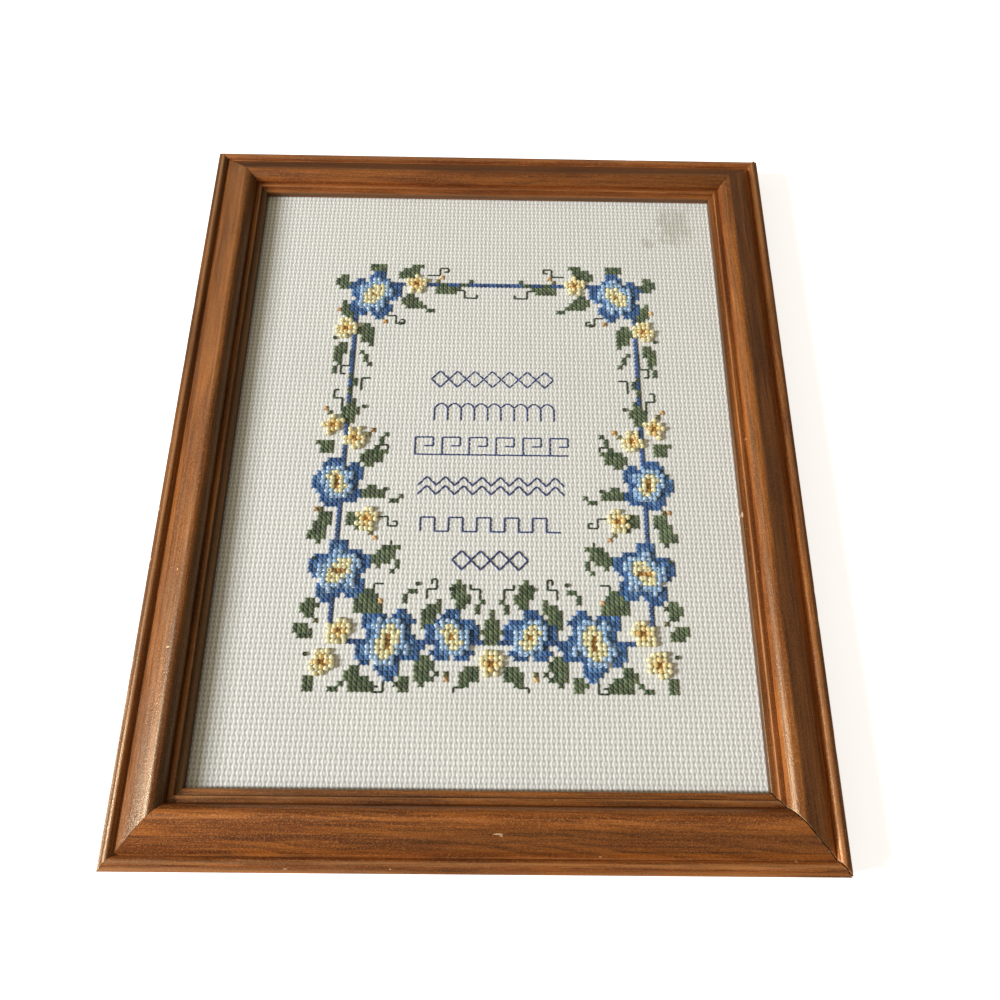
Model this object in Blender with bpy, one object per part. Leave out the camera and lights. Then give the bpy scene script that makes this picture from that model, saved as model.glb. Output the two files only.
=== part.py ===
"""Framed cross stitch sampler, lying on its back with its face up.

Four lengths of one stained wooden moulding are mitred round a stitched cloth. The cloth lies on a
stiff board, and the moulding's lip covers the edges of both.

+X is the picture's right, +Y is its top, and +Z points up out of its face. The origin is the middle
of the back, on the surface that the frame lies on.
"""

import math

import bmesh
import bpy

# The picture: the opening that shows, and the moulding round it.
SIGHT_WIDTH = 0.1905
SIGHT_HEIGHT = 0.2413
MOULDING_WIDTH = 0.0250
LIP_TOP = 0.0140
JOINT_GAP = 0.0003

# The board that the picture is cut to, and the space for it behind the lip.
BOARD_WIDTH = 0.2032
BOARD_HEIGHT = 0.2540
BOARD_THICKNESS = 0.0030
CLOTH_THICKNESS = 0.0010
LIP_THICKNESS = 0.0027
SEAT_GAP = 0.0003
BOARD_CLEARANCE = 0.00045
RABBET_WIDTH = (BOARD_WIDTH - SIGHT_WIDTH) / 2 + BOARD_CLEARANCE

# The moulding's face, from the opening outwards. A distance is from the sight edge, and a height is
# from the top of the lip.
LIP_ROUND = 0.0004
STRIP_OUT = 0.0021
STEP_OUT, STEP_HEIGHT = 0.0023, 0.0012
QUIRK_OUT, QUIRK_HEIGHT = 0.0044, 0.0006
CREST_OUT, CREST_HEIGHT = 0.0082, 0.0048
CREST_RADIUS = 0.0022
CREST_TURN = math.radians(28)
SLOPE_OUT, SLOPE_HEIGHT = 0.0200, -0.0033
BEAD_OUT, BEAD_HEIGHT = 0.02175, -0.0032
BEAD_RADIUS = 0.00155
EDGE_HEIGHT = -0.0041
EDGE_ROUND = 0.0005
BACK_ROUND = 0.0004

SMOOTH_ANGLE = math.radians(32)

WOOD_COLOUR = (0.26, 0.095, 0.032, 1.0)
CLOTH_COLOUR = (0.76, 0.73, 0.65, 1.0)
BOARD_COLOUR = (0.42, 0.33, 0.23, 1.0)


def arc(centre, radii, start, end, steps):
    """Points along an ellipse's arc, both ends included, with angles in degrees."""
    points = []
    for step in range(steps + 1):
        angle = math.radians(start + (end - start) * step / steps)
        out = centre[0] + radii[0] * math.cos(angle)
        height = centre[1] + radii[1] * math.sin(angle)
        points.append((out, height))
    return points


def bowed(start, end, turn, steps):
    """Points along a shallow arc from start to end, without start, that bulges to its left."""
    run, rise = end[0] - start[0], end[1] - start[1]
    chord = math.hypot(run, rise)
    radius = chord / (2 * math.sin(turn / 2))
    across = (-rise / chord, run / chord)
    points = []
    for step in range(1, steps + 1):
        angle = turn * (step / steps - 0.5)
        along = 0.5 + radius * math.sin(angle) / chord
        bulge = radius * (math.cos(angle) - math.cos(turn / 2))
        out = start[0] + run * along + across[0] * bulge
        height = start[1] + rise * along + across[1] * bulge
        points.append((out, height))
    return points


def crest_points():
    """The steep rise, the rounded crest and the long outer slope down to the groove."""
    radii = (CREST_OUT - QUIRK_OUT, CREST_HEIGHT - QUIRK_HEIGHT)
    rise = arc((CREST_OUT, QUIRK_HEIGHT), radii, 180, 90, 9)
    turn = math.degrees(CREST_TURN)
    crest = arc((CREST_OUT, CREST_HEIGHT - CREST_RADIUS), (CREST_RADIUS, CREST_RADIUS), 90, 90 - turn, 3)
    shoulder = crest[-1]
    fall = math.atan2(shoulder[1] - SLOPE_HEIGHT, SLOPE_OUT - shoulder[0])
    slope = bowed(shoulder, (SLOPE_OUT, SLOPE_HEIGHT), 2 * (fall - CREST_TURN), 7)
    return rise + crest[1:] + slope


def bead_points():
    """The small round bead, whose inner side is the groove, and the plain edge beyond it."""
    bead = arc((BEAD_OUT, BEAD_HEIGHT), (BEAD_RADIUS, BEAD_RADIUS), 180, 0, 10)
    edge_centre = (MOULDING_WIDTH - EDGE_ROUND, EDGE_HEIGHT - EDGE_ROUND)
    edge = arc(edge_centre, (EDGE_ROUND, EDGE_ROUND), 90, 0, 3)
    return bead + [(BEAD_OUT + BEAD_RADIUS, EDGE_HEIGHT)] + edge


def moulding_profile():
    """The closed outline of the moulding, from the back of the rabbet round the face to the back."""
    lip_edge = arc((LIP_ROUND, -LIP_ROUND), (LIP_ROUND, LIP_ROUND), 180, 90, 3)
    steps = [(STRIP_OUT, 0.0), (STEP_OUT, STEP_HEIGHT)]
    face = [(0.0, -LIP_THICKNESS)] + lip_edge + steps + crest_points() + bead_points()
    face = [(out, LIP_TOP + height) for out, height in face]
    back_edge = arc((MOULDING_WIDTH - BACK_ROUND, BACK_ROUND), (BACK_ROUND, BACK_ROUND), 0, -90, 2)
    rabbet = [(RABBET_WIDTH, 0.0), (RABBET_WIDTH, LIP_TOP - LIP_THICKNESS)]
    return face + back_edge + rabbet


def finish(piece, colour, roughness):
    """Gives a piece a plain finish of its own."""
    material = bpy.data.materials.new(piece.name + "_finish")
    material.use_nodes = True
    shader = material.node_tree.nodes["Principled BSDF"]
    shader.inputs["Base Color"].default_value = colour
    shader.inputs["Roughness"].default_value = roughness
    shader.inputs["Metallic"].default_value = 0.0
    piece.data.materials.append(material)


def add_piece(name, mesh_maker, root):
    """Makes an object from a bmesh, with its faces pointing out, and hangs it on the root."""
    shape = bmesh.new()
    mesh_maker(shape)
    bmesh.ops.recalc_face_normals(shape, faces=shape.faces)
    mesh = bpy.data.meshes.new(name)
    shape.to_mesh(mesh)
    shape.free()
    piece = bpy.data.objects.new(name, mesh)
    bpy.context.scene.collection.objects.link(piece)
    piece.parent = root
    return piece


def add_rail(name, sight_length, distance, turn, root):
    """One rail: the moulding run along its side of the opening, with both ends cut at 45 degrees.

    The rail is modelled along X with the opening behind it, then turned and moved to its side.
    """
    half_gap = JOINT_GAP / math.sqrt(2)

    def moulding(shape):
        ends = []
        for side in (-1, 1):
            corners = []
            for out, height in moulding_profile():
                along = side * (sight_length / 2 + out - half_gap)
                corners.append(shape.verts.new((along, out, height)))
            shape.faces.new(corners)
            ends.append(corners)
        count = len(ends[0])
        for index in range(count):
            after = (index + 1) % count
            shape.faces.new((ends[0][index], ends[0][after], ends[1][after], ends[1][index]))

    rail = add_piece(name, moulding, root)
    rail.rotation_euler = (0.0, 0.0, turn)
    rail.location = (-distance * math.sin(turn), distance * math.cos(turn), 0.0)
    rail.data.shade_smooth()
    rail.data.set_sharp_from_angle(angle=SMOOTH_ANGLE)
    finish(rail, WOOD_COLOUR, 0.35)
    return rail


def add_panel(name, width, height, thickness, top, root):
    """A flat sheet in the rabbet: its middle is over the origin, and its face is at the height top."""

    def sheet(shape):
        bmesh.ops.create_grid(shape, x_segments=1, y_segments=1, size=0.5)
        bmesh.ops.scale(shape, vec=(width, height, 1.0), verts=shape.verts)

    panel = add_piece(name, sheet, root)
    panel.location = (0.0, 0.0, top)
    body = panel.modifiers.new("thickness", "SOLIDIFY")
    body.thickness = thickness
    body.offset = -1.0
    return panel


def build():
    """Clears the scene and makes the frame's rails, the cloth and the board."""
    for thing in list(bpy.data.objects):
        bpy.data.objects.remove(thing, do_unlink=True)

    root = bpy.data.objects.new("framed_sampler", None)
    bpy.context.scene.collection.objects.link(root)

    sides = (
        ("rail_top", SIGHT_WIDTH, SIGHT_HEIGHT / 2, 0),
        ("rail_left", SIGHT_HEIGHT, SIGHT_WIDTH / 2, 90),
        ("rail_bottom", SIGHT_WIDTH, SIGHT_HEIGHT / 2, 180),
        ("rail_right", SIGHT_HEIGHT, SIGHT_WIDTH / 2, 270),
    )
    for name, sight_length, distance, turn in sides:
        add_rail(name, sight_length, distance, math.radians(turn), root)

    cloth_top = LIP_TOP - LIP_THICKNESS - SEAT_GAP
    cloth = add_panel("stitched_cloth", BOARD_WIDTH, BOARD_HEIGHT, CLOTH_THICKNESS, cloth_top, root)
    finish(cloth, CLOTH_COLOUR, 0.9)

    board_top = cloth_top - CLOTH_THICKNESS - SEAT_GAP
    board = add_panel("backing_board", BOARD_WIDTH, BOARD_HEIGHT, BOARD_THICKNESS, board_top, root)
    finish(board, BOARD_COLOUR, 0.85)


build()
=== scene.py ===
"""The looks of the framed cross stitch sampler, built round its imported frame.

Four varnished softwood rails, an ivory block-weave cloth with its stitching and beads, and the board
behind it. Sizes are in metres. +X is the picture's right, +Y its top and +Z points out of its face.
"""

import math

import bpy
import numpy as np
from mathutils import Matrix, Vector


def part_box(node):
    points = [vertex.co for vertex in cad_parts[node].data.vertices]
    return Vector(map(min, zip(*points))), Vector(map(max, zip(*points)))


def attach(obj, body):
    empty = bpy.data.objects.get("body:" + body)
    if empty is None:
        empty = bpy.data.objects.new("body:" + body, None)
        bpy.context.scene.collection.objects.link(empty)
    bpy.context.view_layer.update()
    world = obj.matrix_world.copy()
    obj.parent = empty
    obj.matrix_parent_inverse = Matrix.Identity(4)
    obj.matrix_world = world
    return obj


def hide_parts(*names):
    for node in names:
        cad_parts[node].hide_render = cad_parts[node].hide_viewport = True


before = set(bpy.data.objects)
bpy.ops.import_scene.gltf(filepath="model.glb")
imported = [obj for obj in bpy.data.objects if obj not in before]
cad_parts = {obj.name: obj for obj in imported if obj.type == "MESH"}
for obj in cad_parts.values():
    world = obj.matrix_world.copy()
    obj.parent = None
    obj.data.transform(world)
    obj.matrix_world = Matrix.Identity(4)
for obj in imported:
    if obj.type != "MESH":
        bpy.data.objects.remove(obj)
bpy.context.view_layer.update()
cloth_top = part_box("stitched_cloth")[1].z

MM = 0.001
SEED = 14

# The photograph's camera.
PICTURE_PIXELS = 1000
FOCAL_PIXELS = 788.9
SENSOR_WIDTH = 36.0
CAMERA_PLACE = (0.0035, -0.1233, 0.2859)
CAMERA_TURN = (20.8, -0.77, 0.48)

# The window's light, the room's at its dim and its bright side, and the floor that the frame lies on.
WINDOW_AZIMUTH = 191.0
WINDOW_ELEVATION = 27.5
WINDOW_DISTANCE = 3.0
WINDOW_SIZE = (0.38, 0.75)
WINDOW_POWER = 130.0
ROOM_DIM = 0.24
ROOM_BRIGHT = 0.62
FLOOR_REACH = 3.0
FLOOR_GLOW = 0.72

# The opening and the moulding, the distance between a rail's rings, and how many dents it has.
SIGHT_WIDTH = 0.1905
SIGHT_HEIGHT = 0.2413
MOULDING_WIDTH = 0.025
LIP_TOP = 0.014
LIP_THICKNESS = 0.0027
RABBET_WIDTH = 0.0068
RAIL_STEP = 0.0016
DENTS = 26

# The weave: the distance between the centres of its blocks, where the design's middle block is, and
# how far a rib swings from side to side, as a share of the distance between two ribs.
PITCH_X = 0.00172
PITCH_Y = 0.001812
CENTRE_X = 0.0037
CENTRE_Y = 0.0021
RIB_SWING = 0.13

# Each smudge's middle, half width and half height.
STAINS = ((0.0805, 0.1085, 0.0085, 0.012), (0.0683, 0.0996, 0.003, 0.0032))

# The design: the border's distance from the middle block, and the petals of a flower.
BORDER_COLUMN = 33
BORDER_ROW = 41
PETALS = 5

# Strands of thread: half their width, half their height and their sides, and how far a cross's
# strands lie from their leg's middle.
CROSS_STRAND = (0.00021, 0.00017, 4)
BEAD_STRAND = (0.00022, 0.00014, 4)
STRAND_ASIDE = 0.00017

# One bead, and the steps of its mesh round its axis and round its section.
BEAD_RADIUS = 0.001
BEAD_HOLE = 0.00028
BEAD_LENGTH = 0.0015
GLASS_GLOW = 0.24
BEAD_TURN = 12
BEAD_RING = 8


def mesh_object(name, points, faces, material, smooth=True):
    """An object with one material, from arrays of points and of faces."""
    mesh = bpy.data.meshes.new(name)
    mesh.from_pydata(np.asarray(points, float).tolist(), [], faces)
    mesh.validate()
    if smooth:
        mesh.shade_smooth()
    mesh.materials.append(material)
    thing = bpy.data.objects.new(name, mesh)
    bpy.context.scene.collection.objects.link(thing)
    return thing


def point_values(thing, **layers):
    """Stores a number for each point, in a layer for each name, which a material can read."""
    for name, values in layers.items():
        layer = thing.data.attributes.new(name, "FLOAT", "POINT")
        layer.data.foreach_set("value", np.asarray(values, np.float32).reshape(-1))


def quad_grid(rows, columns, closed_rows=False, closed_columns=False):
    """The faces between a grid's points, which are numbered row by row.

    A closed grid also has faces from its last row or column to its first.
    """
    row = np.arange(rows if closed_rows else rows - 1)[:, None]
    column = np.arange(columns if closed_columns else columns - 1)[None, :]
    here, there = row * columns, (row + 1) % rows * columns
    beyond = (column + 1) % columns
    corners = [here + column, there + column, there + beyond, here + beyond]
    return np.stack(corners, axis=2).reshape(-1, 4)


def copied(faces, count, size):
    """The same faces for each of many pieces, which have size points each."""
    faces = np.array(faces)
    return (faces[None] + (np.arange(count) * size)[:, None, None]).reshape(-1, faces.shape[1]).tolist()


def end_caps(count, around):
    """The two faces that close a tube of count points, with around points in each ring."""
    return [list(range(around)), list(range(count - 1, count - around - 1, -1))]


def unit(vectors):
    """The vectors' directions, each of length 1."""
    return vectors / np.linalg.norm(vectors, axis=-1, keepdims=True)


def circle(steps):
    """Angles once round, in equal steps."""
    return 2 * math.pi * np.arange(steps) / steps


def feed(target, value):
    """Links an output to a node's input, or sets the input to a number, a vector or a colour."""
    if isinstance(value, bpy.types.NodeSocket):
        target.id_data.links.new(value, target)
    elif value is not None:
        target.default_value = value


def add_node(tree, kind, inputs, **settings):
    """A new node with its settings, and with a value or an output for each input given."""
    node = tree.nodes.new("ShaderNode" + kind)
    for setting, value in settings.items():
        setattr(node, setting, value)
    for socket, value in inputs.items():
        feed(node.inputs[socket], value)
    return node


def output_of(kind, inputs, output=0, **settings):
    """The output of a new node, in the same tree as the outputs that it takes."""
    tree = next(value.id_data for value in inputs.values() if isinstance(value, bpy.types.NodeSocket))
    return add_node(tree, kind, inputs, **settings).outputs[output]


def maths(operation, first, second=None, third=None):
    """One arithmetic step on numbers or outputs."""
    return output_of("Math", {0: first, 1: second, 2: third}, operation=operation)


def plus(first, second):
    """The sum of two numbers or outputs."""
    return maths("ADD", first, second)


def minus(first, second):
    """The first number or output, less the second."""
    return maths("SUBTRACT", first, second)


def times(first, second, added=None):
    """The product of two numbers or outputs, with a third one added where it is given."""
    return maths("MULTIPLY" if added is None else "MULTIPLY_ADD", first, second, added)


def ramp(value, low, high, start=0, end=1, kind="SMOOTHSTEP"):
    """A step, smooth unless said otherwise, from start to end as the value goes from low to high."""
    inputs = {"Value": value, "From Min": low, "From Max": high, "To Min": start, "To Max": end}
    return output_of("MapRange", inputs, interpolation_type=kind)


def mix(share, first, second, blend="MIX"):
    """Two colours mixed by a share."""
    inputs = {"Factor": share}
    for socket, colour in ((6, first), (7, second)):
        inputs[socket] = (*colour, 1) if isinstance(colour, tuple) else colour
    return output_of("Mix", inputs, 2, data_type="RGBA", blend_type=blend)


def scaled(vector, scale, offset):
    """A vector that is stretched and shifted along each axis."""
    return output_of("Mapping", {"Vector": vector, "Scale": scale, "Location": offset})


def parts(vector):
    """The three numbers of a vector."""
    return add_node(vector.id_data, "SeparateXYZ", {0: vector}).outputs[:3]


class Paint:
    """A small helper that builds one node-based material."""

    def __init__(self, name, colour, roughness):
        self.material = bpy.data.materials.new(name)
        self.material.use_nodes = True
        self.tree = self.material.node_tree
        self.coords = add_node(self.tree, "TexCoord", {}).outputs["Object"]
        self.set({"Base Color": (*colour, 1), "Roughness": roughness})

    def set(self, values):
        """Gives shader sockets their fixed values, or links outputs to them."""
        for socket, value in values.items():
            feed(self.tree.nodes["Principled BSDF"].inputs[socket], value)

    def noise(self, scale, detail, offset=(0, 0, 0), vector=None, roughness=0.5):
        """Smooth noise between 0 and 1, on coordinates that are stretched and shifted."""
        inputs = {"Vector": scaled(vector or self.coords, scale, offset), "Scale": 1}
        return output_of("TexNoise", {**inputs, "Detail": detail, "Roughness": roughness}, "Fac")

    def point_value(self, name):
        """A number stored on the mesh's points."""
        return add_node(self.tree, "Attribute", {}, attribute_name=name).outputs["Fac"]

    def bump(self, height, distance, strength=1):
        """Turns a height into surface relief."""
        inputs = {"Height": height, "Distance": distance, "Strength": strength}
        self.set({"Normal": output_of("Bump", inputs)})


def arc(centre, radii, start, end, steps):
    """Points along an ellipse's arc, both ends included, with angles in degrees."""
    angles = np.radians(np.linspace(start, end, steps + 1))
    return [(centre[0] + radii[0] * math.cos(a), centre[1] + radii[1] * math.sin(a)) for a in angles]


def straight(start, end, steps):
    """Points along a line, without its start."""
    shares = np.arange(1, steps + 1) / steps
    return [(start[0] + (end[0] - start[0]) * t, start[1] + (end[1] - start[1]) * t) for t in shares]


def bowed(start, end, turn, steps):
    """Points along a shallow arc from start to end, without start, that bulges to its left."""
    run, rise = end[0] - start[0], end[1] - start[1]
    chord = math.hypot(run, rise)
    radius = chord / (2 * math.sin(turn / 2))
    points = []
    for step in range(1, steps + 1):
        angle = turn * (step / steps - 0.5)
        along = 0.5 + radius * math.sin(angle) / chord
        bulge = radius * (math.cos(angle) - math.cos(turn / 2)) / chord
        points.append((start[0] + run * along - rise * bulge, start[1] + rise * along + run * bulge))
    return points


def moulding_profile(lift):
    """The moulding's closed outline, as distances from the sight edge and heights above the back.

    lift is how much the small bead near the outer edge stands above its usual height.
    """
    lip = arc((0.0004, -0.0004), (0.0004, 0.0004), 180, 90, 4)
    strip = straight(lip[-1], (0.0021, 0), 3)
    step = arc((0.0024, 0.001), (0.0002, 0.0002), 150, 60, 3)
    fillet = straight(step[-1], (0.0044, 0.0006), 3)
    rise = arc((0.0082, 0.0006), (0.0038, 0.0042), 180, 90, 16)[1:]
    turn = 28
    crest = arc((0.0082, 0.0026), (0.0022, 0.0022), 90, 90 - turn, 5)[1:]
    foot = (0.02, -0.0033)
    fall = math.atan2(crest[-1][1] - foot[1], foot[0] - crest[-1][0])
    slope = bowed(crest[-1], foot, 2 * (fall - math.radians(turn)), 14)
    bead = straight(foot, (0.0202, lift - 0.0032), 2 if lift else 0)
    bead += arc((0.02175, lift - 0.0032), (0.00155, 0.00155), 180, 0, 16)
    inner, outer = (0.0234, -0.0041), (0.0245, -0.0041)
    ledge = [inner] + straight(inner, outer, 2)
    rim = arc((0.0245, -0.0046), (0.0005, 0.0005), 90, 0, 4)[1:]
    face = [(0, -LIP_THICKNESS), (0, -0.0018), (0, -0.001)] + lip + strip + step + fillet
    face += rise + crest + slope + bead + ledge + rim
    face = [(out, height + LIP_TOP) for out, height in face]
    wall = straight(face[-1], (MOULDING_WIDTH, 0.0004), 5)
    heel = arc((0.0246, 0.0004), (0.0004, 0.0004), 0, -90, 3)[1:]
    back = straight(heel[-1], (RABBET_WIDTH, 0), 3)
    rabbet = [(RABBET_WIDTH, LIP_TOP - LIP_THICKNESS)]
    return np.array(face + wall + heel + back + rabbet)


def nearest(profile, places, reach):
    """How near each profile point is to a place: the place's share there, and 0 beyond the reach."""
    closeness = []
    for out, height, share in places:
        away = np.hypot(profile[:, 0] - out, profile[:, 1] - LIP_TOP - height)
        closeness.append(share * np.clip(1.5 - 1.5 * away / reach, 0, 1))
    return np.max(closeness, axis=0)


def stain_and_shade_tones(rows, profile, shares):
    """How light each point of a rail is made.

    Each row is a distance from the sight edge in millimetres, and the lightness there at the rail's
    low end, its middle and its high end. The rows come from comparing the photograph with renders,
    so they hold painted light and shade as well as the stain's tone.
    """
    rows = np.array(rows)
    low, middle, high = (np.interp(profile[:, 0], rows[:, 0] * MM, column) for column in rows[:, 1:].T)
    tone = np.maximum(-shares, 0)[:, None] * low + (1.0 - np.abs(shares))[:, None] * middle
    return tone + np.maximum(shares, 0)[:, None] * high


def add_rail(name, sight_length, distance, turn, gaps, lift, tones, material, random):
    """One mitred rail, modelled along X with the opening behind it and then turned to its side.

    It replaces the plain CAD rail, on the same lines, with the moulding's small dents and uneven
    edges. gaps are the joint's widths at its low and its high end.
    """
    profile = moulding_profile(lift)
    count = int(sight_length / RAIL_STEP)
    shares = np.linspace(-1, 1, count + 1)
    half = sight_length / 2 + profile[:, 0]
    low = -(half - gaps[0] / math.sqrt(2))
    high = half - gaps[1] / math.sqrt(2)
    weight = (shares[:, None] + 1) / 2
    along = low * (1 - weight) + high * weight
    out = np.broadcast_to(profile[:, 0], along.shape)
    height = np.broadcast_to(profile[:, 1], along.shape)

    edges = (
        (0.0004, 0, 0.3), (0.0023, 0.0012, 1), (0.0088, 0.0047, 0.25),
        (0.0202, -0.003, 0.6), (0.0218, lift - 0.0017, 1), (0.0245, -0.0041, 0.8),
    )
    # The hollows are painted darker, partly as soiling and partly as painted shade.
    hollows = ((0, -0.0014, 1), (0.0021, 0, 0.32), (0.0044, 0.0006, 0.16), (0.0234, -0.0041, 0.2))
    wear = nearest(profile, edges, 0.0011)
    dirt = nearest(profile, hollows, 0.0012)

    visible = profile[:, 1] > LIP_TOP - 0.0048
    for _ in range(DENTS):
        place = random.uniform(-0.5, 0.5) * sight_length
        spot = profile[random.choice(np.flatnonzero(visible & (wear > 0.3)))]
        reach = random.uniform(0.0004, 0.0012)
        away = np.hypot((along - place) / 1.6, np.hypot(out - spot[0], height - spot[1]))
        height = height - visible * random.uniform(0.00008, 0.00028) * np.exp(-((away / reach) ** 2))

    points = np.stack([along, out, height], axis=2).reshape(-1, 3)
    around = len(profile)
    faces = quad_grid(count + 1, around, closed_columns=True).tolist() + end_caps(len(points), around)
    rail = mesh_object(name, points, faces, material)
    rail.data.set_sharp_from_angle(angle=math.radians(38))
    to_split = np.ones(along.shape)
    if gaps[0] > gaps[1]:
        to_split = np.abs(along - low)
    elif gaps[1] > gaps[0]:
        to_split = np.abs(high - along)
    rings = (count + 1, 1)
    # tone is the stain's tone with painted light and shade in it.
    tone = stain_and_shade_tones(tones, profile, shares)
    point_values(rail, wear=np.tile(wear, rings), dirt=np.tile(dirt, rings), tone=tone, to_split=to_split)
    rail.rotation_euler = (0, 0, turn)
    rail.location = (-distance * math.sin(turn), distance * math.cos(turn), 0)
    return rail


def nick_share(paint, nicks):
    """The share of bare wood in a rail's nicks, each a place along and across, a length and a width."""
    share = 0.0
    torn = paint.noise((3000, 3000, 3000), 2)
    for along, across, length, width in nicks:
        scale = (2 / (length * MM), 2 / (width * MM), 0)
        offset = (-along * MM * scale[0], -across * MM * scale[1], 0)
        spot = {0: scaled(paint.coords, scale, offset)}
        far = times(torn, 1.2, output_of("VectorMath", spot, "Value", operation="LENGTH"))
        share = maths("MAXIMUM", share, ramp(far, 1.75, 1.35))
    return share


def stained_wood(name, shift, drift, tint, figure, grime_and_shade, nicks):
    """Golden-brown stained softwood under satin varnish, with grain that runs along X.

    shift moves the grain, so that no two rails are alike, drift is how much the rings lean, tint the
    stain's own colour on that rail with some painted light and shade in it, and figure how strongly
    the grain shows. The argument after figure sets how dark the hollows are painted, partly soiling
    and partly painted shade.
    """
    paint = Paint(name, (0.2, 0.06, 0.015), 0.33)
    moved = scaled(paint.coords, (1, 1, 1), shift)

    def streaks(along, across, detail, offset=(0, 0, 0), roughness=0.5):
        """Noise that is drawn out along the grain."""
        return paint.noise((along, across, across), detail, offset, moved, roughness)

    along, across, depth = parts(moved)
    ring = plus(times(across, 0.95), times(depth, 0.55))
    ring = plus(ring, times(along, drift))
    ring = times(streaks(7, 30, 2), 0.006, ring)
    ring = times(streaks(34, 330, 2, (0.2, 0.5, 0)), 0.0016, ring)
    ring = maths("FRACT", times(ring, 700))
    late = times(ramp(ring, 0.3, 0.85), ramp(ring, 1, 0.88))
    patch = streaks(22, 220, 3, (0.3, 0.1, 0.2))
    late = times(late, ramp(patch, 0.32, 0.65, 0.1 * figure, 0.72 * figure))
    fibre = streaks(55, 2200, 3, roughness=0.6)
    streak = streaks(17, 720, 3, (0.4, 0.6, 0.1), 0.6)
    cloud = streaks(20, 170, 3, (0.5, 0.2, 0.7))
    grain = streaks(1900, 3000, 2, (0.6, 0.1, 0.2), 0.55)

    colour = mix(ramp(cloud, 0.36, 0.62), (0.175, 0.042, 0.0065), (0.35, 0.104, 0.014))
    colour = mix(late, colour, (0.08, 0.018, 0.005))
    layers = (
        (streak, 0.5, 0.65, 0.74 * figure, (0.07, 0.016, 0.0045)),
        (streak, 0.47, 0.3, 0.5 * figure, (0.47, 0.152, 0.028)),
        (fibre, 0.5, 0.7, 0.62, (0.066, 0.016, 0.0045)),
        (fibre, 0.46, 0.3, 0.38, (0.5, 0.175, 0.038)),
        (grain, 0.52, 0.66, 0.46, (0.62, 0.255, 0.072)),
        (grain, 0.48, 0.34, 0.4, (0.06, 0.017, 0.006)),
    )
    for pattern, low, high, most, pigment in layers:
        colour = mix(ramp(pattern, low, high, 0, most), colour, pigment)
    # The rail's tint: its stain's colour with some painted light and shade.
    colour = mix(1, colour, tint, "MULTIPLY")
    # The tone rows: the stain's tone with painted light and shade.
    colour = mix(1, colour, paint.point_value("tone"), "MULTIPLY")
    wear = paint.point_value("wear")
    rubbed = times(wear, ramp(streak, 0.62, 0.38, 0.08, 0.42))
    colour = mix(rubbed, colour, (0.5, 0.24, 0.095))
    # Darker hollows: partly soiling, partly painted shade.
    dirt = times(paint.point_value("dirt"), grime_and_shade)
    colour = mix(dirt, colour, (0.042, 0.022, 0.014))

    speck = streaks(420, 900, 4, (0.1, 0.4, 0.3), 0.65)
    limit = times(wear, -0.055, 0.745)
    chip = ramp(minus(speck, limit), 0, 0.02)
    ragged = paint.noise((280, 280, 280), 4, shift, roughness=0.7)
    split = plus(paint.point_value("to_split"), times(ragged, 0.0016))
    chip = maths("MAXIMUM", chip, ramp(split, 0.00082, 0.0007))
    chip = maths("MAXIMUM", chip, nick_share(paint, nicks))
    colour = mix(chip, colour, (0.64, 0.41, 0.22))

    gloss = ramp(streaks(70, 300, 3, (0.7, 0.3, 0.1)), 0.25, 0.75, 0.29, 0.41)
    paint.set({"Base Color": colour, "Roughness": times(dirt, 0.3, gloss)})
    paint.set({"Specular IOR Level": 0.9, "Specular Tint": (1, 0.8, 0.5, 1)})
    relief = times(fibre, -0.6, times(late, 0.3))
    paint.bump(times(grain, 1.1, relief), 0.00009)
    return paint.material


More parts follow.
